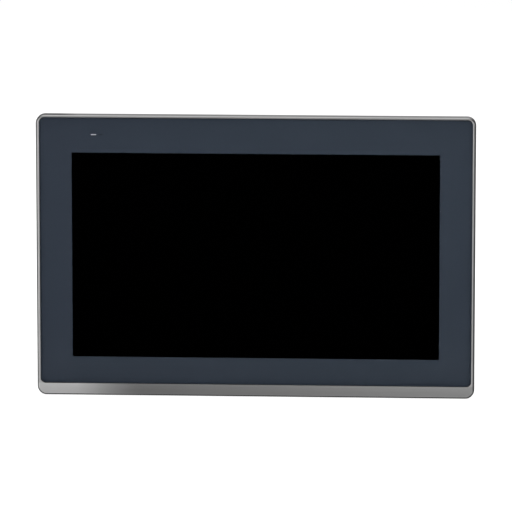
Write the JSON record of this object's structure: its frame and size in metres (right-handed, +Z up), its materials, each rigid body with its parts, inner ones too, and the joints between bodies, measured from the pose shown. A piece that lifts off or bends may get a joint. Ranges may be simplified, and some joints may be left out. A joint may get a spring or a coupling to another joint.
{
  "type": "hmi touch panel",
  "caption": "Wide panel-mount operator display: flush touch glass in a thin silver bezel, a shallow steel chassis with screw clamps, and a rear electronics cover with ports.",
  "frame": {"origin": "centre of the picture, on the front surface of the cover glass", "axes": "+X to the right as the operator sees it, +Y into the cabinet, +Z up; the glass faces -Y"},
  "size_m": [0.4106, 0.0649, 0.2658],
  "materials": {
    "bezel_silver": "fine satin, silver",
    "cover_glass": "smooth, slightly anti-glare",
    "border_print": "dark blue-grey print behind the glass",
    "seal_foam": "closed-cell foam",
    "led_lens": "milky light pipe",
    "gasket_rubber": "matte",
    "lcd_black": "black when off",
    "lcd_metal": "thin bright sheet",
    "lcd_backlight": "light guide in a thin metal pan",
    "sheet_steel": "galvanised",
    "cover_plastic": "fine grain",
    "sink_aluminium": "extruded, natural",
    "board_green": "solder mask",
    "connector_black": "moulded",
    "connector_metal": "tinned",
    "terminal_green": "moulded",
    "screw_steel": "zinc plated",
    "clamp_zinc": "die cast, satin",
    "flex_amber": "polyimide film",
    "cable_black": "jacket",
    "card_blue": "moulded",
    "button_grey": "moulded",
    "pad_plastic": "moulded"
  },
  "bodies": {
    "housing": {"touch_glass": "cover_glass", "border_film": "border_print", "touch_seal": "seal_foam", "front_bezel": "bezel_silver", "status_led_lens": "led_lens", "panel_gasket": "gasket_rubber", "touch_flex": "flex_amber", "lcd_frame": "lcd_metal", "lcd_cell": "lcd_black", "backlight_unit": "lcd_backlight", "tcon_board": "board_green", "lcd_bracket_left": "sheet_steel", "lcd_bracket_right": "sheet_steel", "rear_chassis": "sheet_steel", "main_board": "board_green", "heat_sink": "sink_aluminium", "display_cable": "cable_black", "coin_cell": "screw_steel", "battery_holder": "connector_black", "io_cover": "cover_plastic", "card_socket": "connector_metal", "ethernet_jack_1": "connector_metal", "ethernet_jack_2": "connector_metal", "usb_ports": "connector_metal", "serial_port": "connector_metal", "power_header": "terminal_green", "earth_screw": "screw_steel", "cover_screw_left": "screw_steel", "cover_screw_right": "screw_steel", "chassis_screw_1": "screw_steel", "chassis_screw_2": "screw_steel", "chassis_screw_3": "screw_steel", "chassis_screw_4": "screw_steel", "clamp_bracket_top_left": "clamp_zinc", "clamp_bracket_top_right": "clamp_zinc", "clamp_bracket_right": "clamp_zinc", "clamp_bracket_bottom_right": "clamp_zinc", "clamp_bracket_bottom_left": "clamp_zinc", "clamp_bracket_left": "clamp_zinc"},
    "battery_door": {"battery_door": "cover_plastic"},
    "card_door": {"card_door": "cover_plastic"},
    "memory_card": {"memory_card": "card_blue"},
    "power_plug": {"power_plug": "terminal_green"},
    "terminal_screw_1": {"terminal_screw_1": "screw_steel"},
    "terminal_screw_2": {"terminal_screw_2": "screw_steel"},
    "terminal_screw_3": {"terminal_screw_3": "screw_steel"},
    "reset_button": {"reset_button": "button_grey"},
    "mode_slider": {"mode_slider": "button_grey"},
    "clamp_screw_top_left": {"clamp_screw_top_left": "screw_steel"},
    "clamp_pad_top_left": {"clamp_pad_top_left": "pad_plastic"},
    "clamp_screw_top_right": {"clamp_screw_top_right": "screw_steel"},
    "clamp_pad_top_right": {"clamp_pad_top_right": "pad_plastic"},
    "clamp_screw_right": {"clamp_screw_right": "screw_steel"},
    "clamp_pad_right": {"clamp_pad_right": "pad_plastic"},
    "clamp_screw_bottom_right": {"clamp_screw_bottom_right": "screw_steel"},
    "clamp_pad_bottom_right": {"clamp_pad_bottom_right": "pad_plastic"},
    "clamp_screw_bottom_left": {"clamp_screw_bottom_left": "screw_steel"},
    "clamp_pad_bottom_left": {"clamp_pad_bottom_left": "pad_plastic"},
    "clamp_screw_left": {"clamp_screw_left": "screw_steel"},
    "clamp_pad_left": {"clamp_pad_left": "pad_plastic"}
  },
  "joints": [
    {"name": "clamp_top_left_advance", "type": "slide", "parent": "housing", "child": "clamp_pad_top_left", "axis": [0, -1, 0], "range_m": [0, 0.0045]},
    {"name": "clamp_top_left_turn", "type": "hinge", "parent": "clamp_pad_top_left", "child": "clamp_screw_top_left", "pos_m": [-0.12, 0.0148, 0.1268], "axis": [0, -1, 0], "range_deg": [0, 2315]},
    {"name": "clamp_top_right_advance", "type": "slide", "parent": "housing", "child": "clamp_pad_top_right", "axis": [0, -1, 0], "range_m": [0, 0.0045]},
    {"name": "clamp_top_right_turn", "type": "hinge", "parent": "clamp_pad_top_right", "child": "clamp_screw_top_right", "pos_m": [0.12, 0.0148, 0.1268], "axis": [0, -1, 0], "range_deg": [0, 2315]},
    {"name": "clamp_right_advance", "type": "slide", "parent": "housing", "child": "clamp_pad_right", "axis": [0, -1, 0], "range_m": [0, 0.0045]},
    {"name": "clamp_right_turn", "type": "hinge", "parent": "clamp_pad_right", "child": "clamp_screw_right", "pos_m": [0.1988, 0.0148, 0], "axis": [0, -1, 0], "range_deg": [0, 2315]},
    {"name": "clamp_bottom_right_advance", "type": "slide", "parent": "housing", "child": "clamp_pad_bottom_right", "axis": [0, -1, 0], "range_m": [0, 0.0045]},
    {"name": "clamp_bottom_right_turn", "type": "hinge", "parent": "clamp_pad_bottom_right", "child": "clamp_screw_bottom_right", "pos_m": [0.12, 0.0148, -0.1268], "axis": [0, -1, 0], "range_deg": [0, 2315]},
    {"name": "clamp_bottom_left_advance", "type": "slide", "parent": "housing", "child": "clamp_pad_bottom_left", "axis": [0, -1, 0], "range_m": [0, 0.0045]},
    {"name": "clamp_bottom_left_turn", "type": "hinge", "parent": "clamp_pad_bottom_left", "child": "clamp_screw_bottom_left", "pos_m": [-0.12, 0.0148, -0.1268], "axis": [0, -1, 0], "range_deg": [0, 2315]},
    {"name": "clamp_left_advance", "type": "slide", "parent": "housing", "child": "clamp_pad_left", "axis": [0, -1, 0], "range_m": [0, 0.0045]},
    {"name": "clamp_left_turn", "type": "hinge", "parent": "clamp_pad_left", "child": "clamp_screw_left", "pos_m": [-0.1988, 0.0148, 0], "axis": [0, -1, 0], "range_deg": [0, 2315]},
    {"name": "card_door_swing", "type": "hinge", "parent": "housing", "child": "card_door", "pos_m": [-0.1062, 0.0374, -0.047], "axis": [0, 0, 1], "range_deg": [0, 110]},
    {"name": "memory_card_push", "type": "slide", "parent": "housing", "child": "memory_card", "axis": [-1, 0, 0], "range_m": [-0.0007, 0.0038]},
    {"name": "battery_door_swing", "type": "hinge", "parent": "housing", "child": "battery_door", "pos_m": [0.07, 0.0632, 0.0134], "axis": [-1, 0, 0], "range_deg": [0, 110]},
    {"name": "power_plug_pull", "type": "slide", "parent": "housing", "child": "power_plug", "axis": [0, 0, -1], "range_m": [0, 0.012]},
    {"name": "terminal_1_turn", "type": "hinge", "parent": "power_plug", "child": "terminal_screw_1", "pos_m": [0.07592, 0.0482, -0.0905], "axis": [0, -1, 0], "range_deg": [0, 1800]},
    {"name": "terminal_2_turn", "type": "hinge", "parent": "power_plug", "child": "terminal_screw_2", "pos_m": [0.081, 0.0482, -0.0905], "axis": [0, -1, 0], "range_deg": [0, 1800]},
    {"name": "terminal_3_turn", "type": "hinge", "parent": "power_plug", "child": "terminal_screw_3", "pos_m": [0.08608, 0.0482, -0.0905], "axis": [0, -1, 0], "range_deg": [0, 1800]},
    {"name": "reset_press", "type": "slide", "parent": "housing", "child": "reset_button", "axis": [0, 0, 1], "range_m": [0, 0.0008]},
    {"name": "mode_slide", "type": "slide", "parent": "housing", "child": "mode_slider", "axis": [1, 0, 0], "range_m": [0, 0.0025]}
  ],
  "couplings": [
    {"joint": "clamp_top_left_turn", "follows": "clamp_top_left_advance", "rad_per_m": 8976},
    {"joint": "clamp_top_right_turn", "follows": "clamp_top_right_advance", "rad_per_m": 8976},
    {"joint": "clamp_right_turn", "follows": "clamp_right_advance", "rad_per_m": 8976},
    {"joint": "clamp_bottom_right_turn", "follows": "clamp_bottom_right_advance", "rad_per_m": 8976},
    {"joint": "clamp_bottom_left_turn", "follows": "clamp_bottom_left_advance", "rad_per_m": 8976},
    {"joint": "clamp_left_turn", "follows": "clamp_left_advance", "rad_per_m": 8976}
  ]
}
